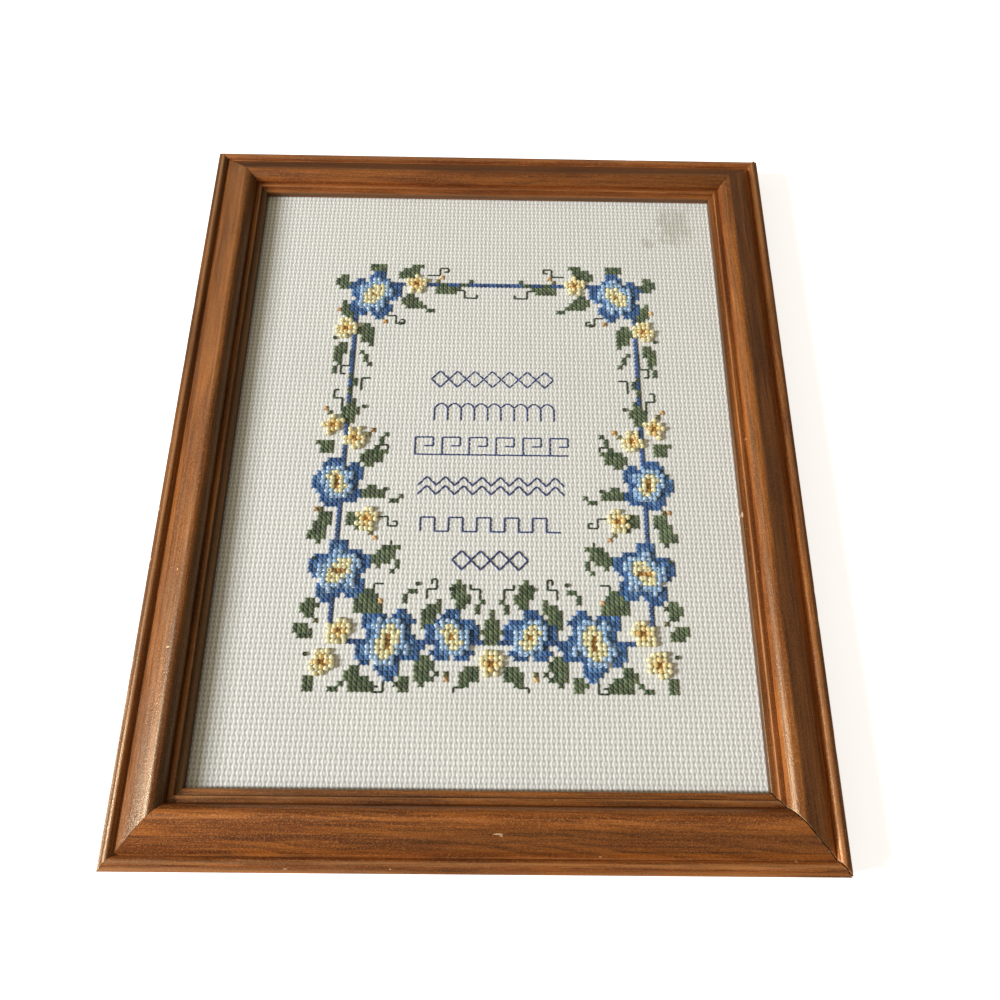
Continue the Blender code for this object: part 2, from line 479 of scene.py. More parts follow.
def add_rails(random):
    """The four rails, each standing for its CAD node.

    A nick is its place along the rail and across it, its length and its width, all in millimetres.
    """
    wide, tight = 0.00048, 0.0001
    top_nicks = (
        (-52, 9, 0.8, 0.3), (62.8, 9.9, 0.5, 0.3), (71.9, 9.6, 0.4, 0.3), (96.5, 8.5, 0.5, 0.3),
        (99.6, 9, 0.5, 0.3), (103.3, 7.6, 0.8, 0.3), (105.8, 10.8, 0.5, 0.4),
    )
    left_nicks = (
        (-48.7, 11.3, 0.9, 0.5), (-76, 10.2, 0.6, 1.4), (-23.7, 24.7, 1, 0.6), (-43, 24.7, 1.2, 0.6),
        (-12.8, 8.1, 0.5, 0.3), (-16.1, 8.1, 0.6, 0.3), (-19.1, 8.3, 0.5, 0.3), (-84.6, 10, 0.5, 0.4),
    )
    bottom_nicks = (
        (-6.6, 12.8, 3.2, 0.45), (-7.6, 13.3, 1.2, 0.4), (60.7, 23.7, 1.2, 0.35),
        (-101.7, 20.3, 0.8, 0.6), (-39.2, 19.4, 0.6, 0.6), (27.5, 23.5, 0.6, 0.5), (-24.9, 2.6, 0.5, 0.3),
    )
    right_nicks = (
        (132, 11.2, 0.9, 0.5), (135.2, 13, 0.4, 1.2), (138.3, 23.9, 1.2, 0.5), (-5.8, 4.3, 0.6, 0.4),
        (46.3, 3.3, 0.7, 0.3), (24.5, 0.3, 2.2, 0.6),
    )
    # Tone rows hold painted light and shade as well as the stain's tone: the top rail's outer slope is
    # painted darker, the right rail's small bead mostly lighter.
    top_tones = (
        (0, 1, 0.9, 0.8), (2.2, 1.3, 1.2, 1), (4.4, 1.3, 1.1, 0.75), (5.5, 0.95, 0.8, 0.5),
        (7, 1.2, 0.95, 0.6), (8.8, 0.65, 0.6, 0.55), (12, 0.44, 0.46, 0.52), (18, 0.5, 0.54, 0.62),
        (20, 1.2, 1.2, 1.15), (22, 1.1, 0.95, 0.9),
    )
    left_tones = (
        (0, 0.6, 0.6, 0.55), (1.6, 0.32, 0.32, 0.32), (2.4, 0.9, 0.9, 0.8), (3.5, 1.1, 1.1, 1),
        (4.9, 0.38, 0.38, 0.36), (5.5, 0.42, 0.42, 0.4), (6.3, 0.62, 0.62, 0.55), (7.2, 1.1, 1.1, 0.85),
        (8.2, 0.87, 0.87, 0.7), (10, 0.9, 0.95, 0.6), (16, 0.84, 0.88, 0.5), (20, 1, 0.95, 0.7),
        (21.5, 0.92, 0.78, 0.16), (23, 0.8, 0.75, 0.5),
    )
    bottom_tones = (
        (0, 1, 1, 1), (3, 0.75, 0.75, 0.8), (4.6, 0.7, 0.7, 0.8), (6, 0.95, 0.95, 1.2),
        (8, 1.3, 1.3, 1.45), (12, 0.68, 0.74, 1.25), (18, 0.74, 0.8, 1.25), (20, 1.1, 1.15, 1.25),
        (21, 1, 1.05, 1.15), (22.5, 1.05, 1.1, 1.15),
    )
    right_tones = (
        (0, 0.4, 0.4, 0.4), (2.2, 1, 1.05, 1.15), (4.4, 1.05, 1, 1.15), (5.5, 0.82, 0.78, 0.95),
        (7, 0.8, 0.78, 1), (9, 0.95, 0.92, 1.1), (12, 1, 1.03, 0.95), (18, 1.05, 1.1, 1.05),
        (19.6, 1.5, 1.6, 1.6), (20.8, 0.62, 1.25, 1.35), (22, 0.62, 1.25, 1.35), (23.4, 1.1, 1.2, 1.2),
    )
    # Each side: name, turn, joint gaps, bead lift, grain drift, tint, figure, hollow darkening, nicks and
    # tone rows. The tint and the tone rows hold some painted light and shade, and the hollow darkening is
    # partly soiling and partly painted shade.
    sides = (
        ("rail_top", 0, (tight, tight), 0, 0.035, (0.9, 0.83, 0.93), 0.5, 0.6, top_nicks, top_tones),
        ("rail_left", 90, (tight, tight), 0, -0.012, (0.9, 0.9, 0.92), 0.65, 1, left_nicks, left_tones),
        ("rail_bottom", 180, (wide, tight), 0, 0.05, (0.9, 0.82, 0.76), 1, 0.6, bottom_nicks, bottom_tones),
        ("rail_right", 270, (tight, wide), 0.0007, -0.045, (1, 1, 1.1), 0.85, 0.5, right_nicks, right_tones),
    )
    for index, (name, turn, gaps, lift, drift, tint, figure, grime_and_shade, nicks, tones) in enumerate(sides):
        length, distance = (SIGHT_HEIGHT, SIGHT_WIDTH / 2) if turn % 180 else (SIGHT_WIDTH, SIGHT_HEIGHT / 2)
        shift = (0.31 * index + 0.07, 0.023 * index, 0.017 * index)
        material = stained_wood("stained_" + name, shift, drift, tint, figure, grime_and_shade, nicks)
        turn = math.radians(turn)
        rail = add_rail(name + "_wood", length, distance, turn, gaps, lift, tones, material, random)
        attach(rail, "root")
        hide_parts(name)


def cell_places(blocks):
    """The X and Y of blocks' centres, or of points between blocks, from their columns and rows."""
    return (CENTRE_X, CENTRE_Y) + np.array(blocks, float) * (PITCH_X, PITCH_Y)


def half_steps(centre, pitch, low, high, sight):
    """Grid lines every half block inside the opening, then one under the lip and the sheet's edge.

    It gives their places, and their numbers counted in half blocks from the middle block.
    """
    first = math.ceil((-sight - centre) / pitch * 2)
    last = math.floor((sight - centre) / pitch * 2)
    places = centre + np.arange(first, last + 1) * pitch / 2
    places = np.concatenate([[low, -sight - MM], places, [sight + MM, high]])
    return places, np.arange(first - 2, last + 3)


def ivory_weave():
    """Block-weave cotton: wavy ribs of floats, dark gaps and holes between them, an old stain, and painted
    shade under the crosses.
    """
    paint = Paint("ivory_weave", (0.75, 0.74, 0.68), 0.85)
    wobble_x = paint.noise((190, 480, 1), 2)
    wobble_y = paint.noise((480, 190, 1), 2, (0.4, 0.8, 0))
    x, y = parts(paint.coords)[:2]
    u = maths("DIVIDE", minus(x, CENTRE_X), PITCH_X)
    v = maths("DIVIDE", minus(y, CENTRE_Y), PITCH_Y)
    u = plus(u, times(wobble_x, 0.36, -0.18))
    v = plus(v, times(wobble_y, 0.36, -0.18))

    swing = maths("COSINE", times(v, math.pi))
    column = maths("FLOOR", plus(u, 0.5))
    odd = times(maths("FLOORED_MODULO", column, 2), -2, 1)
    shift = times(times(odd, swing), RIB_SWING)
    away = maths("ABSOLUTE", minus(minus(u, column), shift))
    crown = times(maths("COSINE", times(v, 2 * math.pi)), 0.5, 0.5)
    rib = times(ramp(away, 0.36, 0.05), ramp(crown, 0, 0.8, 0.63, 1))

    space = maths("FLOOR", u)
    even = times(maths("FLOORED_MODULO", space, 2), -2, 1)
    narrow = times(times(even, swing), 0.5, 0.5)
    middle = maths("ABSOLUTE", minus(minus(u, space), 0.5))
    bridge = times(ramp(middle, 0.42, 0.05), ramp(narrow, 0.75, 0.05))
    low = maths("ABSOLUTE", minus(maths("FRACT", v), 0.5))
    hole_x = maths("POWER", maths("DIVIDE", middle, 0.17), 2)
    hole_y = maths("POWER", maths("DIVIDE", low, 0.27), 2)
    hole = maths("EXPONENT", times(plus(hole_x, hole_y), -1))

    fuzz = paint.noise((2600, 1000, 1), 2, (0.2, 0.5, 0))
    body = maths("MAXIMUM", rib, times(bridge, 0.52))
    body = minus(body, times(hole, 0.4))
    body = times(body, ramp(fuzz, 0.15, 0.85, 0.66, 1.22))
    body = plus(body, ramp(fuzz, 0.2, 0.8, -0.06, 0.1))
    colour = mix(maths("MAXIMUM", body, -0.25), (0.6, 0.59, 0.54), (0.975, 0.96, 0.905))
    colour = mix(times(hole, 0.57), colour, (0.36, 0.345, 0.3))
    # Painted shade on the cloth where crosses cover it.
    colour = mix(paint.point_value("covered"), colour, (0.1, 0.14, 0.17))
    tone = paint.noise((45, 45, 1), 3, (0.6, 0.1, 0))
    colour = mix(ramp(tone, 0.3, 0.7, 0, 0.35), colour, (0.92, 0.92, 0.93), "MULTIPLY")
    colour = mix(stain_share(paint, x, y), colour, (0.72, 0.71, 0.64), "MULTIPLY")
    paint.set({"Base Color": colour, "Sheen Weight": 0.1, "Specular IOR Level": 0.2})
    paint.bump(body, 0.0001, 0.8)
    return paint.material


def stain_share(paint, x, y):
    """Two faint, patchy grey smudges near the cloth's top right corner."""
    ragged = paint.noise((260, 210, 1), 3, (0.9, 0.3, 0), roughness=0.65)
    share = 0.0
    for place_x, place_y, half_width, half_height in STAINS:
        across = maths("DIVIDE", minus(x, place_x), half_width)
        down = maths("DIVIDE", minus(y, place_y), half_height)
        far = plus(maths("POWER", across, 2), maths("POWER", down, 2))
        far = times(ragged, 2.6, minus(maths("SQRT", far), 1.3))
        share = maths("MAXIMUM", share, ramp(far, 1.25, 0.3, 0, 0.75))
    return share


def covered_share(chart, steps_x, steps_y):
    """Marks the cloth's points that have crosses on every side, where little light gets in."""
    share = np.zeros((len(steps_y), len(steps_x)))
    for row, step_y in enumerate(steps_y):
        for column, step_x in enumerate(steps_x):
            near_x = {step_x // 2, (step_x + 1) // 2}
            near_y = {step_y // 2, (step_y + 1) // 2}
            blocks = [(int(across), int(down)) for across in near_x for down in near_y]
            share[row, column] = all(chart.blocks.get(block) in CROSS_COLOURS for block in blocks)
    return share


def add_cloth(chart, random):
    """The cloth as one thin closed sheet, with each block of the weave raised in its points."""
    low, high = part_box("stitched_cloth")
    lines_x, steps_x = half_steps(CENTRE_X, PITCH_X, low.x, high.x, SIGHT_WIDTH / 2)
    lines_y, steps_y = half_steps(CENTRE_Y, PITCH_Y, low.y, high.y, SIGHT_HEIGHT / 2)
    place_x, place_y = np.meshgrid(lines_x, lines_y)
    step_x, step_y = np.meshgrid(steps_x, steps_y)
    rows, columns = place_x.shape

    # How high the weave's parts stand: a block, a rib's end, and what lies between two blocks.
    block, rib_end, bridge, gap, hole = 0.00006, 0.00003, 0.00002, -0.00006, -0.00007
    odd_x, odd_y = step_x % 2 == 1, step_y % 2 == 1
    between = np.where(((step_x - 1) // 2 + step_y // 2) % 2 == 0, gap, bridge)
    height = np.where(odd_x, np.where(odd_y, hole, between), np.where(odd_y, rib_end, block))
    swing = np.where((step_x // 2 + step_y // 2) % 2 == 0, RIB_SWING, -RIB_SWING)
    place_x = place_x + np.where(odd_x | odd_y, 0, swing * PITCH_X)
    height = height + random.normal(0, 0.00002, height.shape)
    height = height + 0.0001 * np.sin(place_x * 61 + 1.1) * np.sin(place_y * 47 + 0.4)
    margin = 0.0005
    inside_x = np.abs(place_x) < SIGHT_WIDTH / 2 + margin
    inside_y = np.abs(place_y) < SIGHT_HEIGHT / 2 + margin
    height = np.where(inside_x & inside_y, height, 0)
    points = np.stack([place_x, place_y, high.z + height], axis=2).reshape(-1, 3)

    number = np.arange(rows * columns).reshape(rows, columns)
    rim = np.concatenate([number[0], number[1:, -1], number[-1, -2::-1], number[-2:0:-1, 0]])
    under = rows * columns + np.arange(len(rim))
    below = points[rim]
    below[:, 2] = low.z
    walls = np.stack([rim, under, np.roll(under, -1), np.roll(rim, -1)], axis=1)
    faces = quad_grid(rows, columns)[:, [0, 3, 2, 1]].tolist() + walls.tolist() + [under[::-1].tolist()]
    cloth = mesh_object("woven_cloth", np.concatenate([points, below]), faces, ivory_weave())
    # covered marks where the cloth is painted in shade under the crosses.
    share = covered_share(chart, steps_x, steps_y).reshape(-1)
    point_values(cloth, covered=np.concatenate([0.88 * share, np.zeros(len(rim))]))
    cloth.data.set_sharp_from_angle(angle=math.radians(60))
    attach(cloth, "root")
    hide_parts("stitched_cloth")
    return cloth


def walk(a, b, moves):
    """The holes on a path of straight moves, each a direction and a count."""
    ways = {"e": (1, 0), "w": (-1, 0), "n": (0, 1), "s": (0, -1)}
    ways.update({"ne": (1, 1), "nw": (-1, 1), "se": (1, -1), "sw": (-1, -1)})
    holes = [(a, b)]
    for move in moves.split():
        way, count = move.rstrip("0123456789"), move.lstrip("nesw")
        for _ in range(int(count or 1)):
            a, b = a + ways[way][0], b + ways[way][1]
            holes.append((a, b))
    return holes


def blocks_around(reach):
    """The steps from a motif's middle block to every block within reach, row by row."""
    span = range(-reach, reach + 1)
    return [(across, down) for down in span for across in span]


class Chart:
    """The design on the block grid: crosses and beads by block, and lines from hole to hole.

    A block's column and row count from the middle of the design. Hole (a, b) is the lower left
    corner of block (a, b). Whatever is drawn first keeps its block. Every motif is drawn with its
    mirror image in the other half.
    """

    def __init__(self):
        self.blocks = {}
        self.lines = []
        self.knots = []

    def put(self, column, row, colour):
        """One cross or bead in a free block."""
        for side in (column, -column):
            self.blocks.setdefault((side, row), colour)

    def blocks_of(self, key):
        """The blocks that have one colour, in order."""
        return sorted(block for block, colour in self.blocks.items() if colour == key)

    def curl(self, a, b, moves):
        """Green back stitches from a hole."""
        holes = walk(a, b, moves)
        self.lines += [(holes, "vine"), ([(1 - a, b) for a, b in holes], "vine")]

    def knot(self, a, b):
        """A small dark knot at a hole."""
        self.knots += [(a, b), (1 - a, b)]

    def flower(self, column, row, radius, turn, lean):
        """A large blue flower: beaded petals round a yellow heart, with deep blue tips."""
        for across, down in blocks_around(int(radius) + 1):
            far = math.hypot(across, down)
            lobe = abs(math.cos(PETALS / 2 * (math.atan2(down, across) - turn)))
            edge = radius * (0.6 + 0.4 * lobe ** 0.8)
            along = across * math.cos(lean) + down * math.sin(lean)
            beside = -across * math.sin(lean) + down * math.cos(lean)
            heart = math.hypot(along / (0.46 * radius), beside / (0.3 * radius))
            if far > edge:
                continue
            if abs(beside) < 0.55 and abs(along) < 0.17 * radius:
                colour = "gold"
            elif heart < 1.0:
                colour = "cream"
            elif heart < 1.0 + 1.15 / (0.36 * radius) or (lobe > 0.78 and far < edge - 2.2):
                colour = "sky"
            elif far < edge - 1.6 or (across + 2 * down) % 7 == 0:
                colour = "mid"
            else:
                colour = "deep"
            self.put(column + across, row + down, colour)

    def blossom(self, column, row, radius, turn):
        """A small pale yellow blossom of beads round a gold cross."""
        for across, down in blocks_around(int(radius) + 1):
            far = math.hypot(across, down) + 0.45
            lobe = abs(math.cos(PETALS / 2 * (math.atan2(down, across) - turn)))
            if far > radius * (0.78 + 0.3 * lobe):
                continue
            if far < 1.2:
                colour = "gold"
            else:
                colour = "amber" if far < 2.0 and (across + down) % 2 else "cream"
            self.put(column + across, row + down, colour)

    def leaf(self, column, row, length, width, angle):
        """A pointed leaf from its stalk's block, in stepped crosses, darker along one side."""
        turn = math.radians(angle)
        for across, down in blocks_around(length + 1):
            along = (across * math.cos(turn) + down * math.sin(turn)) / length
            beside = -across * math.sin(turn) + down * math.cos(turn)
            if not -0.04 <= along <= 1.0:
                continue
            half = width / 2 * math.sin(math.pi * min(1, 0.16 + 0.84 * along) ** 0.85)
            if abs(beside) <= half + 0.12:
                self.put(column + across, row + down, "moss" if beside < -0.25 * width else "leaf")

    def bud(self, column, row, way, colour="peach"):
        """A bud of two crosses, a green one at its foot."""
        self.put(column, row, colour)
        self.put(*walk(column, row, way)[1], "olive")

    def sprig(self, column, row, moves):
        """Single green crosses that climb block by block."""
        for block in walk(column, row, moves):
            self.put(*block, "moss")

    def spray(self, flowers, blossoms, leaves, buds, sprigs, curls, knots):
        """A group of motifs, drawn in this order, each with the values that its function takes."""
        motifs = (self.flower, self.blossom, self.leaf, self.bud, self.sprig, self.curl, self.knot)
        for motif, places in zip(motifs, (flowers, blossoms, leaves, buds, sprigs, curls, knots)):
            for place in places:
                motif(*place)


def draw_corner_sprays(chart):
    """The upper corners: one flower each, with leaves, buds and curls."""
    chart.spray(
        flowers=((29, 38, 6.6, 0.5, 2.2),),
        blossoms=((19, 41, 2.9, 0.3), (35, 29, 2.8, 1.1)),
        leaves=(
            (23, 43, 6, 3.2, 150), (22, 37, 6, 3.4, 205), (34, 32, 5, 3, 60), (31, 30, 6, 3.4, 250),
            (36, 40, 4, 3, 70), (30, 45, 4, 2.8, 165), (14, 40, 5, 2.8, 190), (35, 25, 5, 3, 300),
        ),
        buds=((13, 43, "se"), (26, 31, "ne", "gold"), (37, 34, "nw")),
        sprigs=((9, 40, "nw w nw"), (17, 35, "sw w"), (36, 21, "s se s"), (31, 23, "sw s sw")),
        curls=(
            (26, 33, "w2 s2 w2 n1 e1"), (17, 44, "w3 n2 w2 s1 e1"), (34, 24, "s4 e2 s2 w1"),
            (10, 40, "w2 s2 w3 n1"),
        ),
        knots=((23, 31), (38, 27)),
    )


def draw_side_garlands(chart):
    """The sides: two flowers each, and between them leaves, blossoms and curls."""
    chart.spray(
        flowers=((34, -8, 6, 1.3, 1.1), (32, -27, 6.8, 0.2, 2.6)),
        blossoms=((31, 2, 2.9, 0.9), (36, 5, 2.6, 0.2), (27, -16, 2.8, 0.5)),
        leaves=(
            (33, 6, 6, 3.4, 100), (29, -3, 6, 3.4, 160), (36, -1, 4, 3, 40), (35, -15, 5, 3.2, 310),
            (31, -15, 6, 3.6, 215), (36, -20, 4, 3, 20), (25, -25, 6, 3.4, 150),
            (27, -32, 6, 3.4, 215), (37, -33, 4, 3, 290), (28, -10, 5, 3, 190),
        ),
        buds=((27, 4, "se", "gold"), (38, -14, "w"), (25, -20, "ne"), (38, 9, "sw")),
        sprigs=((33, 13, "n nw n ne"), (26, 0, "nw n nw"), (22, -12, "w nw"), (21, -27, "nw n")),
        curls=(
            (35, 9, "n3 e2 n2 w1"), (28, -1, "w2 n2 w2 s1"), (25, -15, "w2 s2 w2 n1 e1"),
            (24, -22, "w2 n2"), (31, 14, "n3 w2"),
        ),
        knots=((24, -9), (30, 10), (38, -24)),
    )


def draw_bottom_garland(chart):
    """The lower edge: the largest flowers, with the corners' and the middle's blossoms."""
    chart.spray(
        flowers=((21, -41, 7.2, 0.9, 1.9), (8, -40, 5.6, 0.3, 0.8)),
        blossoms=((0, -45, 3, 1.57), (31, -39, 3.1, 0.4), (34, -45, 3, 1)),
        leaves=(
            (0, -41, 6, 3.8, 90), (3, -46, 5, 3, 320), (13, -44, 5, 3.4, 290),
            (14, -38, 6, 3.2, 120), (28, -46, 5, 3.2, 260), (28, -35, 6, 3.4, 130),
            (37, -40, 4, 3, 30), (26, -49, 3, 2.6, 200), (36, -48, 3, 2.6, 300),
            (18, -48, 3, 2.8, 250), (6, -34, 6, 3, 75),
        ),
        buds=((12, -34, "se", "gold"), (9, -48, "n"), (23, -33, "s"), (37, -36, "sw", "gold")),
        sprigs=((3, -35, "n nw"), (18, -33, "n nw w"), (11, -47, "se e se"), (30, -49, "se e")),
        curls=(
            (14, -32, "n2 w2 n2 e1 s1"), (6, -47, "s2 e2 s1"), (22, -48, "s2 e2 n1 w1"),
            (3, -32, "n2 e2 n1"), (25, -31, "n2 w2"),
        ),
        knots=((16, -29), (9, -30), (38, -43)),
    )


def draw_border(chart):
    """The narrow blue frame of crosses, one block wide, behind the flowers."""
    for row in range(-BORDER_ROW, BORDER_ROW + 1):
        chart.put(BORDER_COLUMN, row, "border")
    for column in range(0, BORDER_COLUMN + 1):
        for row in (-BORDER_ROW, BORDER_ROW):
            chart.put(column, row, "border")


def draw_bands(chart):
    """Bands of plain navy line patterns across the middle.

    Each row has its first hole, how many times it is worked, the step between them, and its moves.
    """
    rows = (
        (-14, 17, 7, 4, "ne2 se2 sw2 nw2"),
        (-13, 7, 9, 3, "n3 ne1 e1 se1 s3"),
        (-17, -1, 6, 6, "n4 e4 s2 w2"),
        (-17, -1, 1, 0, "e34"),
        (-16, -8, 8, 4, "ne2 se2"),
        (-16, -10, 8, 4, "ne2 se2"),
        (-15, -18, 5, 6, "n3 e3 s3 e3"),
        (-8, -24, 4, 4, "ne2 se2 sw2 nw2"),
    )
    for a, b, count, step, moves in rows:
        chart.lines += [(walk(a + step * index, b, moves), "navy") for index in range(count)]


# Each kind's piece, its thread's or its glass's colours, its finish, and half of a line's width.
CROSS_COLOURS = {
    "deep": ("deep_blue_crosses", (0.036, 0.112, 0.285), "blue_thread"),
    "mid": ("mid_blue_crosses", (0.105, 0.23, 0.43), "blue_thread"),
    "border": ("border_crosses", (0.042, 0.1, 0.26), "blue_thread"),
    "leaf": ("leaf_crosses", (0.121, 0.156, 0.07), "green_thread"),
    "moss": ("moss_crosses", (0.075, 0.113, 0.05), "green_thread"),
    "olive": ("olive_crosses", (0.15, 0.14, 0.04), "green_thread"),
    "gold": ("gold_crosses", (0.52, 0.26, 0.05), None),
    "peach": ("peach_crosses", (0.82, 0.4, 0.17), None),
}
BEAD_COLOURS = {
    "sky": ("sky_beads", (0.31, 0.42, 0.54), (0.17, 0.3, 0.47)),
    "cream": ("cream_beads", (0.64, 0.59, 0.365), (0.56, 0.475, 0.24)),
    "amber": ("amber_beads", (0.66, 0.47, 0.19), (0.52, 0.32, 0.1)),
}
LINE_COLOURS = {
    "navy": ("navy_lines", (0.036, 0.06, 0.185), "blue_thread", 0.00031),
    "vine": ("vine_lines", (0.036, 0.058, 0.028), "green_thread", 0.00036),
}


def thread_paint(name, colour):
    """Stranded cotton: each stitch a little lighter or darker, with a faint sheen and fine twist."""
    paint = Paint(name, colour, 0.62)
    twist = paint.noise((4200, 4200, 4200), 2)
    tint = plus(paint.point_value("tint"), times(twist, 0.7, -0.35))
    dark = tuple(part * 0.5 for part in colour)
    light = tuple(min(0.9, part * 1.5 + 0.015) for part in colour)
    paint.set({"Base Color": mix(maths("MAXIMUM", tint, 0), dark, light)})
    paint.set({"Sheen Weight": 0.25, "Sheen Roughness": 0.4, "Specular IOR Level": 0.35})
    paint.bump(twist, 0.00005)
    return paint.material


def bead_paint(name, colour, deep):
    """Lustrous glass: milky, with a deeper colour inside its hole and a clear shiny skin.

    A faint glow stands for the light that comes through a bead to its shaded side.
    """
    paint = Paint(name, colour, 0.2)
    cloud = paint.noise((1400, 1400, 1400), 1)
    share = times(cloud, 0.5, times(paint.point_value("tint"), 0.5))
    depth = maths("MAXIMUM", paint.point_value("inner"), ramp(share, 0.62, 0.18, 0, 0.8))
    paint.set({"Base Color": mix(depth, colour, deep), "Specular IOR Level": 0.5})
    paint.set({"Coat Weight": 0.35, "Coat Roughness": 0.2, "Coat IOR": 1.7, "Subsurface Weight": 0.85})
    paint.set({"Subsurface Radius": (0.0016, 0.0015, 0.0013), "Subsurface Scale": 1})
    paint.set({"Emission Color": (*colour, 1), "Emission Strength": GLASS_GLOW})
    return paint.material


def tubes(paths, half_width, half_height, sides):
    """Closed tubes along many paths at once: points and faces. paths is tubes x rings x 3."""
    count, rings = paths.shape[:2]
    along = unit(np.gradient(paths, axis=1))
    beside = unit(np.cross(along, (0, 0, 1)))
    above = np.cross(beside, along)
    across = np.cos(circle(sides))[:, None] * half_width
    over = np.sin(circle(sides))[:, None] * half_height
    points = paths[:, :, None] + beside[:, :, None] * across + above[:, :, None] * over
    each = rings * sides
    faces = copied(quad_grid(rings, sides, closed_columns=True), count, each)
    return points.reshape(-1, 3), faces + copied(end_caps(each, sides), count, each)


def raised(places, height):
    """Places on the cloth, with one height above its face as their Z."""
    return np.column_stack([places, np.full(len(places), cloth_top + height)])


def leg_paths(blocks, rising, heights, aside, random):
    """Paths of one strand across each block, from hole to hole: rising runs up to the right.

    heights are above the cloth's face, in millimetres, at five places along the strand, and aside is
    how far the strand lies from the leg's middle.
    """
    reach = np.array([PITCH_X / 2, PITCH_Y / 2 if rising else -PITCH_Y / 2]) * 0.97
    normal = unit(np.array([-reach[1], reach[0]]))
    shares = np.array([-1, -0.72, 0, 0.72, 1])
    spread = aside * np.array([0.35, 0.85, 1, 0.85, 0.35])
    loose = np.array([0, 1, 1, 1, 0])
    flat = cell_places(blocks)[:, None] + shares[:, None] * reach + spread[:, None] * normal
    flat = flat + random.normal(0, 0.00003, (len(blocks), 1, 2)) * loose[:, None]
    lift = np.array(heights) * MM + cloth_top + random.normal(0, 0.00002, flat.shape[:2])
    return np.concatenate([flat, lift[:, :, None]], axis=2)


def finish_piece(thing):
    """Rides a stitched piece on the frame."""
    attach(thing, "root")
    return thing


def add_thread(name, cotton, paths, strand, tint):
    """A piece made of thread tubes, one along each path, each with its own tint."""
    points, faces = tubes(paths, *strand)
    piece = mesh_object(name, points, faces, cotton)
    point_values(piece, tint=np.repeat(tint, len(points) // len(paths)))
    return finish_piece(piece)


def add_crosses(chart, random):
    """Every cross: an under leg painted darker and an over leg painted lighter, as painted shade and light,
    each of two strands side by side.
    """
    # The last number of each leg is its painted light: the over leg lighter, the under leg darker.
    legs = (
        (True, (-0.2, 0.14, 0.2, 0.14, -0.2), -0.16),
        (False, (-0.18, 0.22, 0.5, 0.22, -0.18), 0.12),
    )
    pieces = []
    for key, (name, colour, slot) in CROSS_COLOURS.items():
        blocks = chart.blocks_of(key)
        tint = np.clip(random.normal(0.5, 0.22, len(blocks)), 0.05, 0.95)
        paths, tints = [], []
        for rising, heights, shade in legs:
            for aside in (-STRAND_ASIDE, STRAND_ASIDE):
                paths.append(leg_paths(blocks, rising, heights, aside, random))
                tints.append(tint + random.normal(0, 0.05, len(blocks)) + shade)
        paths, tints = np.concatenate(paths), np.concatenate(tints)
        cotton = thread_paint(name + "_cotton", colour)
        pieces.append(add_thread(name, cotton, paths, CROSS_STRAND, tints))
    return pieces


def ring_solids(centres, axes, width, length):
    """Beads or knots at many centres: points, faces and how far inside the hole each point is.

    Each is the bead's section turned round its axis, with its width and its length scaled.
    """
    angles = circle(BEAD_RING)
    outward = 0.5 * (BEAD_RADIUS + BEAD_HOLE) + 0.5 * (BEAD_RADIUS - BEAD_HOLE) * np.cos(angles)
    along = BEAD_LENGTH / 2 * np.sign(np.sin(angles)) * np.abs(np.sin(angles)) ** 0.8
    inner = np.clip(-np.cos(angles) * 1.6, 0, 1)
    beside = np.cross(axes, (0.03, 0.05, 1))
    tall = np.abs(axes[:, 2]) > 0.9
    beside[tall] = np.cross(axes[tall], (1, 0, 0))
    beside = unit(beside)
    above = np.cross(axes, beside)
    turns = circle(BEAD_TURN)[:, None]
    spin = beside[:, None] * np.cos(turns) + above[:, None] * np.sin(turns)
    points = centres[:, None, None] + spin[:, :, None] * (outward * width)[:, None]
    points = points + axes[:, None, None] * (along * length)[:, None]
    pattern = quad_grid(BEAD_TURN, BEAD_RING, closed_rows=True, closed_columns=True)
    faces = copied(pattern, len(centres), BEAD_TURN * BEAD_RING)
    return points.reshape(-1, 3), faces, np.tile(inner, BEAD_TURN * len(centres))


def add_beads(chart, random):
    """Glass beads, each on a slanting thread across its block."""
    pieces = []
    for key, (name, colour, deep) in BEAD_COLOURS.items():
        blocks = chart.blocks_of(key)
        count = len(blocks)
        centres = raised(cell_places(blocks), BEAD_RADIUS * 0.52)
        centres = centres + random.normal(0, 0.00016, centres.shape) * (1, 1, 0.6)
        axes = unit(np.array([PITCH_X, PITCH_Y, 0])) + random.normal(0, 0.28, centres.shape)
        points, faces, inner = ring_solids(centres, unit(axes), 1, 1)
        beads = mesh_object(name, points, faces, bead_paint(name + "_glass", colour, deep))
        tint = np.repeat(random.uniform(0, 1, count), BEAD_TURN * BEAD_RING)
        point_values(beads, inner=inner, tint=tint)
        pieces.append(finish_piece(beads))

        paths = leg_paths(blocks, True, (-0.22, 0.3, 0.8, 0.3, -0.22), 0, random)
        tint = random.uniform(0.3, 0.7, count)
        cotton = thread_paint(name + "_cotton", tuple(0.5 * (a + b) for a, b in zip(colour, deep)))
        pieces.append(add_thread(name + "_threads", cotton, paths, BEAD_STRAND, tint))
    return pieces


